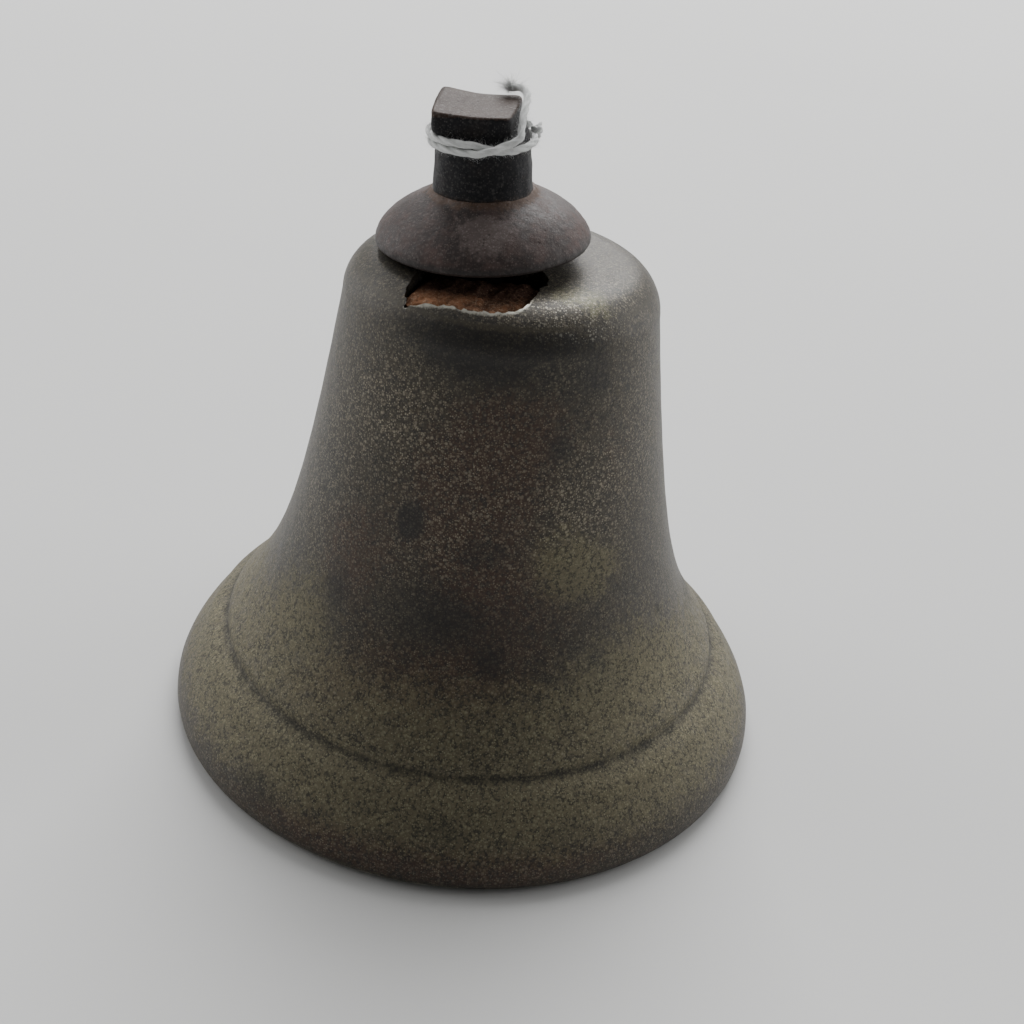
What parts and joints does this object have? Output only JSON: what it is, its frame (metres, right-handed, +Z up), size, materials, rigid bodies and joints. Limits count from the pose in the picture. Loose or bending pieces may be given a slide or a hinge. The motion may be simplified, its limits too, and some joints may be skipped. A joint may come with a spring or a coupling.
{
  "type": "bell",
  "caption": "Small flared cast bronze bell on a leaning iron hanger bolt, with a broken crown, a swinging ball clapper inside and a cotton tag string round its neck.",
  "frame": {"origin": "centre of the lip's flat lower face", "axes": "+Z up along the bell's own axis; the clapper's pin lies along Y, and the hanger leans towards -X"},
  "size_m": [0.1, 0.1, 0.1058],
  "materials": {
    "patinated_bronze": "dark, speckled, satin patina with worn olive and brown areas",
    "flange_iron": "matt reddish-brown oxidised iron with a worn speckled front",
    "stem_iron": "blackened forged iron, brown on top",
    "rusty_iron": "orange-brown rust",
    "inner_iron": "dull dark iron with light rust",
    "ball_iron": "dark cast iron, rubbed bright where it strikes",
    "cotton": "white twisted cotton string"
  },
  "bodies": {
    "bell": {"bell_shell": "patinated_bronze", "crown_flange": "flange_iron", "hanger_stem": "stem_iron", "crown_plate": "rusty_iron", "crown_nut": "rusty_iron", "clapper_pin": "inner_iron", "pin_washer": "inner_iron", "split_pin": "inner_iron", "tag_string": "cotton", "string_knot": "cotton"},
    "clapper": {"clapper_rod": "inner_iron", "clapper_ball": "ball_iron", "ball_nut": "inner_iron"}
  },
  "joints": [
    {"name": "clapper_swing", "type": "hinge", "parent": "bell", "child": "clapper", "pos_m": [-0.00162, 0, 0.05971], "axis": [0, 1, 0], "range_deg": [-33.5, 29.5]}
  ]
}
